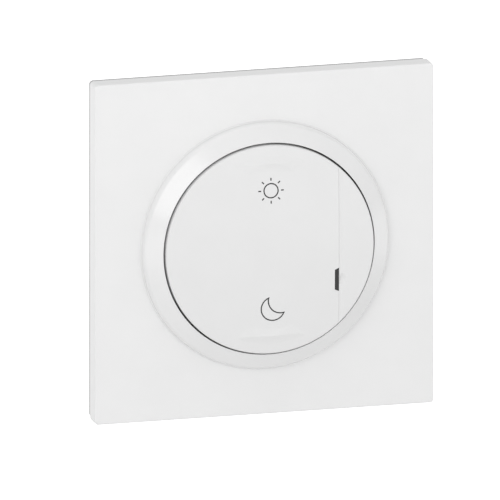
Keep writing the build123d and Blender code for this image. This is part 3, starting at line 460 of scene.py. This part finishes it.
class DIMMER_OT_back_finishes(bpy.types.Operator):
    """Finishes of the frame, the housing and the terminals"""

    bl_idname = "dimmer.back_finishes"
    bl_label = "Back finishes"

    def execute(self, context):
        colours = context.scene.dimmer_colours
        # rolled strip with a zinc bath: grey spangle clouds over fine lines along the strip
        zinc = worked_metal("zinc-plated steel strip", "#CDCDCB", "#BFBFBC", 0.38, 0.2, 4.5)
        # glass-filled plastic shows its fibres as a fine fleck: matt light grey
        housing = moulded("glass-filled polyamide", tuple(colours.back), "#BFC1C2", 0.55, 0.35, 0.012)
        # the same plastic without fillers for the front of the insert
        chassis = moulded("light grey polyamide", linear("#C9CACA"), "#C3C4C4", 0.5, 0.4, 0.008)
        # natural acetal is waxy and slightly yellow: soft broad gloss
        acetal = moulded("natural acetal", linear("#E9E7DC"), "#E3E1D5", 0.34, 0.5, 0.003, ior=1.48)
        # dyed acetal for the part that a hand presses
        release = moulded("dyed acetal", tuple(colours.release), "#CF6A22", 0.36, 0.3, 0.005, ior=1.48)
        # ground pin: lines run round it, so the grain is stretched across its length
        pin = worked_metal("ground steel", "#C4C4C2", "#B2B2B0", 0.24, 0.15, 3.0, (1.0, 0.1, 0.1), 0.004)
        # cold-headed screw with blue zinc: bright with a soft stain
        screw = worked_metal("blue zinc-plated steel", "#C9CCCE", "#B1B6BA", 0.3, 0.2, 1.5, (1.0, 0.2, 1.0))
        # drawn wire: long lines along the coil and a dark oil film
        wire = worked_metal("drawn spring wire", "#A9A8A4", "#8E8D88", 0.28, 0.1, 1.2, (1.0, 1.0, 1.0), 0.003)
        # rolled stainless strip, bent to a hook
        leaf = worked_metal(
            "rolled stainless strip", "#BDBDBA", "#A9A9A5", 0.26, 0.15, 3.0, (1.0, 0.05, 1.0), 0.004
        )
        # tinned bar: warm copper shows through where the tin is thin
        tinned = worked_metal("tinned copper", "#D8C3A8", "#BFA183", 0.32, 0.2, 1.2, (1.0, 0.1, 1.0))
        # dark grey block that carries the terminals, moulded with a coarse texture
        block = moulded("dark grey polyamide", linear("#88898B"), "#7F8082", 0.5, 0.3, 0.01)
        finish_nodes(("mounting_frame",), zinc)
        finish_nodes(("rear_housing",), housing)
        finish_nodes(("front_chassis",), chassis)
        finish_nodes(("upper_plunger", "lower_plunger"), acetal)
        finish_nodes(RELEASES, release)
        finish_nodes(("pivot_pins",), pin)
        finish_nodes(("housing_screws",), screw)
        finish_nodes(("upper_spring", "lower_spring"), wire)
        finish_nodes(("terminal_springs",), leaf)
        finish_nodes(("terminal_bars",), tinned)
        finish_nodes(("terminal_block",), block)
        return {"FINISHED"}


class DIMMER_OT_electronics_finishes(bpy.types.Operator):
    """Finishes of the two boards and what sits on them"""

    bl_idname = "dimmer.electronics_finishes"
    bl_label = "Electronics finishes"

    def execute(self, context):
        # glass threads are 0.4 mm apart and drawn at 5 mm so that the weave shows under the green
        board = masked_glass_board("solder mask on woven glass", "#1E5A34", "#2C7346", 5.0)
        # black package with the dull skin of filled epoxy
        chip = moulded("moulded epoxy", linear("#232323"), "#1B1B1B", 0.5, 0.2, 0.006)
        # switch body in black high-temperature plastic
        switch = moulded("black glass-filled nylon", linear("#2A2A2A"), "#222222", 0.45, 0.25, 0.006)
        # header strip, a shade blacker and smoother
        header = moulded("black liquid-crystal polymer", linear("#1C1C1D"), "#171718", 0.38, 0.3, 0.004)
        # white package filled with yellow phosphor gel
        diode = moulded(
            "phosphor-filled silicone", linear("#E6D9A2"), "#DCC98A", 0.25, 0.3, 0.003, drift_mm=0.6, ior=1.41
        )
        # clear polished guide: bright edges, the back shows through it
        guide = clear_moulded("clear moulded acrylic", "#F2F5F5", 0.04, 1.6, 0.9)
        # sheared and bent sheet: rolling lines along its length
        spreader = worked_metal("rolled aluminium sheet", "#D0D1D2", "#BFC0C2", 0.36, 0.25, 5.0)
        # powder core under sprayed epoxy: grainy dark green
        core = moulded("epoxy-coated iron powder", linear("#3D4F46"), "#33443C", 0.55, 0.35, 0.03)
        # enamel over drawn copper: deep orange with a clear skin
        winding = worked_metal(
            "enamelled copper wire", "#B8673A", "#A4562C", 0.22, 0.3, 1.5, (1.0, 1.0, 1.0), 0.003
        )
        # film capacitor's potted case: blue with a slight orange-peel skin
        film = moulded("blue epoxy-potted case", linear("#2C4C86"), "#27457C", 0.28, 1.2, 0.015)
        # shrunk sleeve over the can: glossy, slightly rippled
        can = moulded("shrunk vinyl sleeve", linear("#2E3036"), "#282A30", 0.22, 1.5, 0.01)
        # brown cap of the fuse
        fuse_cap = moulded("brown phenolic cap", linear("#7A4A2A"), "#6E4124", 0.35, 0.5, 0.006)
        finish_nodes(("control_board", "power_board"), board)
        finish_nodes(("controller_chip", "transistor_pair"), chip)
        finish_nodes(("upper_switch", "lower_switch"), switch)
        finish_nodes(("board_header",), header)
        finish_nodes(("status_led",), diode)
        finish_nodes(("light_guide",), guide)
        finish_nodes(("heat_spreader",), spreader)
        finish_nodes(("choke_core",), core)
        finish_nodes(("choke_winding",), winding)
        finish_nodes(("film_capacitor",), film)
        finish_nodes(("electrolytic_capacitor",), can)
        finish_nodes(("fuse",), fuse_cap)
        return {"FINISHED"}


class DIMMER_OT_trim_ring(bpy.types.Operator):
    """Sloping polished ring round the rocker, spun from its section"""

    bl_idname = "dimmer.trim_ring"
    bl_label = "Trim ring"

    def execute(self, context):
        ring = context.scene.dimmer_ring
        inner_r = RING_OUTER_R - ring.band
        collar_r = inner_r + ring.wall
        edge_y = PLATE_FACE - ring.edge_rise
        lip_y = PLATE_FACE - ring.lip_rise
        foot_r, foot_y = RING_OUTER_R + ring.foot, PLATE_FACE - ring.foot
        # quarter circle that runs from the plate's face up to the outer edge
        foot_steps = 6
        turns = [math.pi / 2 * (1 + i / foot_steps) for i in range(foot_steps + 1)]
        foot = [(foot_r + ring.foot * math.cos(t), foot_y + ring.foot * math.sin(t)) for t in turns]
        bm = spun(
            (
                (inner_r, RING_BACK),
                (collar_r, RING_BACK),
                (collar_r, PLATE_FACE),
                *foot,
                (RING_OUTER_R, edge_y),
                (inner_r, lip_y),
            ),
            ring.steps,
        )
        round_hoop(bm, RING_OUTER_R, edge_y, ring.outer_round, segments=6)
        round_hoop(bm, inner_r, lip_y, ring.lip_round, segments=5)
        piece = finish_piece(
            bm, "sloping_ring", made_material("polished ABS"), smooth_angle=50.0
        )
        even_normals(piece)
        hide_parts("trim_ring")
        return {"FINISHED"}


class DIMMER_OT_housing_details(bpy.types.Operator):
    """Ribs, wire funnels, button rims and the blank panel on the rear housing"""

    bl_idname = "dimmer.housing_details"
    bl_label = "Housing details"

    def ribs(self, settings, material):
        start, end = settings.rib_margin, HOUSING_BACK - settings.rib_margin
        edge_round = 0.6 * settings.rib_rise
        bm = bmesh.new()
        for i in range(settings.rib_count):
            bar = bmesh.ops.create_cube(bm, size=1.0)["verts"]
            bmesh.ops.scale(bm, vec=(settings.rib_width, end - start, 2 * settings.rib_rise), verts=bar)
            rim = {e for v in bar for e in v.link_edges if all(w.co.z > 0 for w in e.verts)}
            rounded = round_edges(bm, list(rim), edge_round, segments=3)
            bar = list({v for v in bar if v.is_valid} | set(rounded["verts"]))
            bmesh.ops.translate(bm, vec=(0, (start + end) / 2, HOUSING_R), verts=bar)
            turn = Matrix.Rotation(math.tau * (i + 0.5) / settings.rib_count, 3, "Y")
            bmesh.ops.rotate(bm, cent=(0, 0, 0), matrix=turn, verts=bar)
        finish_piece(bm, "housing_ribs", material)

    def funnels(self, settings, material):
        bm = bmesh.new()
        bore_r, top_r, foot_r = 1.72 * MM, 2.2 * MM, 2.45 * MM
        throat_rise = 0.1 * MM
        for entry in WIRE_ENTRIES:
            one = spun(
                (
                    (bore_r, HOUSING_BACK - SINK),
                    (foot_r, HOUSING_BACK - SINK),
                    (foot_r, HOUSING_BACK + 0.6 * settings.collar_rise),
                    (top_r, HOUSING_BACK + settings.collar_rise),
                    (bore_r, HOUSING_BACK + throat_rise),
                ),
                steps=48,
            )
            bmesh.ops.translate(one, vec=(entry.x, 0, entry.z), verts=one.verts)
            part = bpy.data.meshes.new("funnel")
            one.to_mesh(part)
            one.free()
            bm.from_mesh(part)
            bpy.data.meshes.remove(part)
        finish_piece(bm, "wire_funnels", material, smooth_angle=25.0)

    def button_rims(self, settings, material):
        bm = bmesh.new()
        gap, band = 0.15 * MM, 0.35 * MM
        width, height = (size + 2 * (gap + band) for size in BUTTON_SIZE)
        lying = Matrix.Rotation(-math.pi / 2, 4, "X") @ Matrix.Diagonal((width, height, 1, 1))
        for name in RELEASES:
            low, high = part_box(name)
            place = Matrix.Translation(((low.x + high.x) / 2, HOUSING_BACK - SINK, BUTTON_Z))
            sheet = bmesh.ops.create_grid(bm, x_segments=1, y_segments=1, size=0.5, matrix=place @ lying)
            face = list({f for v in sheet["verts"] for f in v.link_faces})
            rim = bmesh.ops.inset_region(
                bm, faces=face, thickness=band, use_boundary=True, use_even_offset=True
            )["faces"]
            bmesh.ops.delete(bm, geom=face, context="FACES")
            raised = bmesh.ops.extrude_face_region(bm, geom=rim)["geom"]
            lifted = [g for g in raised if isinstance(g, bmesh.types.BMVert)]
            bmesh.ops.translate(bm, vec=(0, settings.collar_rise, 0), verts=lifted)
        bmesh.ops.recalc_face_normals(bm, faces=bm.faces)
        finish_piece(bm, "button_rims", material)

    def blank_panel(self, settings, material):
        bm = bmesh.new()
        width, height = settings.panel_size
        thickness, corner_r = 0.5 * MM, 1.2 * MM
        border, recess, rise = 0.6 * MM, 0.2 * MM, 0.05 * MM
        slab = bmesh.ops.create_cube(bm, size=1.0)["verts"]
        bmesh.ops.scale(bm, vec=(width, thickness, height), verts=slab)
        corners = [e for e in bm.edges if abs(e.verts[0].co.y - e.verts[1].co.y) > thickness / 2]
        round_edges(bm, corners, corner_r, segments=6)
        back = [f for f in bm.faces if f.normal.y > 0.9]
        bmesh.ops.inset_region(bm, faces=back, thickness=border, use_even_offset=True)
        bmesh.ops.inset_region(bm, faces=back, thickness=recess, depth=-recess, use_even_offset=True)
        bmesh.ops.translate(bm, vec=(0, HOUSING_BACK + rise, PANEL_Z), verts=bm.verts)
        finish_piece(bm, "blank_panel", material)

    def execute(self, context):
        settings = context.scene.dimmer_housing
        material = made_material("glass-filled polyamide")
        self.ribs(settings, material)
        self.funnels(settings, material)
        self.button_rims(settings, material)
        self.blank_panel(settings, material)
        return {"FINISHED"}


class DIMMER_OT_steel_frame(bpy.types.Operator):
    """Mounting frame with the beads that stiffen its pressed sheet"""

    bl_idname = "dimmer.steel_frame"
    bl_label = "Steel frame"

    def execute(self, context):
        settings = context.scene.dimmer_frame
        bm = bmesh.new()
        # the CAD sheet's own faces, with its flat triangles joined so that the press cuts it cleanly
        bm.from_mesh(frame["nodes"]["mounting_frame"].data)
        bmesh.ops.remove_doubles(bm, verts=bm.verts, dist=MERGE)
        bmesh.ops.dissolve_limit(bm, angle_limit=math.radians(1), verts=bm.verts, edges=bm.edges)
        sheet = finish_piece(
            bm, "pressed_frame", made_material("zinc-plated steel strip"), smooth_angle=30.0
        )
        beads = bmesh.new()
        # the beads lie in pairs along each side, clear of the slots and the holes
        across = FRAME_HALF - 3.4 * MM
        along = 14.5 * MM
        rise = settings.bead_width / 2
        for turn in range(4):
            for side in (-1, 1):
                ball = bmesh.ops.create_uvsphere(beads, u_segments=48, v_segments=24, radius=0.5)["verts"]
                bmesh.ops.scale(beads, vec=(settings.bead_length, 2 * rise, settings.bead_width), verts=ball)
                bmesh.ops.translate(beads, vec=(side * along, rise - settings.bead_depth, across), verts=ball)
                quarter = Matrix.Rotation(turn * math.pi / 2, 3, "Y")
                bmesh.ops.rotate(beads, cent=(0, 0, 0), matrix=quarter, verts=ball)
        tool_mesh = bpy.data.meshes.new("bead tool")
        beads.to_mesh(tool_mesh)
        beads.free()
        tool = bpy.data.objects.new("bead tool", tool_mesh)
        context.scene.collection.objects.link(tool)
        press = sheet.modifiers.new("press", "BOOLEAN")
        press.operation = "DIFFERENCE"
        press.object = tool
        context.view_layer.update()
        pressed = bpy.data.meshes.new_from_object(sheet.evaluated_get(context.evaluated_depsgraph_get()))
        sheet.modifiers.clear()
        sheet.data = pressed
        bpy.data.objects.remove(tool)
        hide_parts("mounting_frame")
        return {"FINISHED"}


class DIMMER_OT_stage(bpy.types.Operator):
    """Pale floor, soft lights and the camera"""

    bl_idname = "dimmer.stage"
    bl_label = "Stage"

    def aim(self, thing, target):
        thing.rotation_euler = (Vector(target) - thing.location).to_track_quat("-Z", "Y").to_euler()

    def softbox(self, name, direction, distance, size, radiance):
        """Square area light at a distance in a direction, with the stated radiance over its face."""
        lamp = bpy.data.lights.new(name, "AREA")
        lamp.shape = "SQUARE"
        lamp.size = size
        lamp.energy = radiance * math.pi * size * size
        light = bpy.data.objects.new(name, lamp)
        bpy.context.scene.collection.objects.link(light)
        light.location = Vector(direction).normalized() * distance
        light.visible_camera = False
        self.aim(light, (0, 0, 0))

    def execute(self, context):
        stage = context.scene.dimmer_stage
        scene = context.scene
        scene.view_settings.view_transform = "Standard"

        world = bpy.data.worlds.new("studio air")
        world.use_nodes = True
        sky = world.node_tree.nodes["Background"]
        feed(world.node_tree, sky, {"Color": (1, 1, 1, 1), "Strength": stage.air})
        scene.world = world

        floor_half, floor_z = 4.0, -0.25
        glow_starts, glow_full = 0.5, 0.85
        bm = bmesh.new()
        bmesh.ops.create_grid(
            bm, x_segments=2, y_segments=2, size=floor_half, matrix=Matrix.Translation((0, 0, floor_z))
        )
        floor_mesh = bpy.data.meshes.new("floor")
        bm.to_mesh(floor_mesh)
        bm.free()
        floor = bpy.data.objects.new("floor", floor_mesh)
        scene.collection.objects.link(floor)
        # paper sweep: even white that glows further out, where it is only a background
        material, tree, shader = new_material("matt white paper")
        distance = add_node(tree, "ShaderNodeVectorMath", {0: object_place(tree)}, operation="LENGTH")
        glow = add_node(
            tree,
            "ShaderNodeMapRange",
            {
                "Value": distance.outputs["Value"], "From Min": glow_starts, "From Max": glow_full,
                "To Min": 0.0, "To Max": stage.floor_glow,
            },
            interpolation_type="SMOOTHSTEP",
        )
        feed(tree, shader, {
            "Base Color": linear("#E6E6E6"),
            "Roughness": 0.7,
            "Emission Color": (1, 1, 1, 1),
            "Emission Strength": glow.outputs["Result"],
        })
        floor_mesh.materials.append(material)

        # each softbox: its direction, its distance and its side in metres, and its light
        self.softbox("key softbox", (-0.58, -0.73, 0.38), 0.56, 0.32, stage.key)
        self.softbox("front softbox", (0.4, -0.9, 0.15), 1.3, 0.9, stage.fill)
        self.softbox("top softbox", (-0.1, -0.05, 1.0), 1.1, 1.0, stage.top)

        lens = bpy.data.cameras.new("camera")
        camera = bpy.data.objects.new("camera", lens)
        scene.collection.objects.link(camera)
        lens.type = "ORTHO"
        lens.ortho_scale = stage.picture_height
        turn, rise = stage.azimuth, stage.elevation
        level = math.cos(rise)
        towards = Vector((math.sin(turn) * level, -math.cos(turn) * level, math.sin(rise)))
        right = Vector((math.cos(turn), math.sin(turn), 0))
        up = towards.cross(right)
        middle = Vector((0, PLATE_FACE, 0)) - right * stage.off_centre[0] - up * stage.off_centre[1]
        camera.location = middle + towards
        self.aim(camera, middle)
        lens.clip_start = 0.01
        lens.clip_end = 20
        scene.camera = camera
        return {"FINISHED"}


class DIMMER_PT_panel(bpy.types.Panel):
    """Lists the dimmer's operators and sizes"""

    bl_idname = "DIMMER_PT_panel"
    bl_label = "Rocker Dimmer"
    bl_space_type = "VIEW_3D"
    bl_region_type = "UI"
    bl_category = "Dimmer"

    def draw(self, context):
        for operator in OPERATORS:
            self.layout.operator(operator.bl_idname)
        for group in GROUPS:
            settings = getattr(context.scene, group)
            box = self.layout.box()
            for name in settings.__annotations__:
                box.prop(settings, name)


OPERATORS = (
    DIMMER_OT_front_finishes,
    DIMMER_OT_back_finishes,
    DIMMER_OT_electronics_finishes,
    DIMMER_OT_trim_ring,
    DIMMER_OT_housing_details,
    DIMMER_OT_steel_frame,
    DIMMER_OT_stage,
)
GROUPS = {
    "dimmer_ring": RingSettings,
    "dimmer_housing": HousingSettings,
    "dimmer_frame": SteelFrameSettings,
    "dimmer_colours": ColourSettings,
    "dimmer_stage": StageSettings,
}


def register():
    for group in GROUPS.values():
        bpy.utils.register_class(group)
    for name, group in GROUPS.items():
        setattr(bpy.types.Scene, name, PointerProperty(type=group))
    for made in (*OPERATORS, DIMMER_PT_panel):
        bpy.utils.register_class(made)


def unregister():
    for made in (DIMMER_PT_panel, *reversed(OPERATORS)):
        bpy.utils.unregister_class(made)
    for name, group in reversed(GROUPS.items()):
        delattr(bpy.types.Scene, name)
        bpy.utils.unregister_class(group)


def main():
    register()
    bpy.ops.dimmer.front_finishes()
    bpy.ops.dimmer.back_finishes()
    bpy.ops.dimmer.electronics_finishes()
    bpy.ops.dimmer.trim_ring()
    bpy.ops.dimmer.housing_details()
    bpy.ops.dimmer.steel_frame()
    bpy.ops.dimmer.stage()


if __name__ == "__main__":
    main()
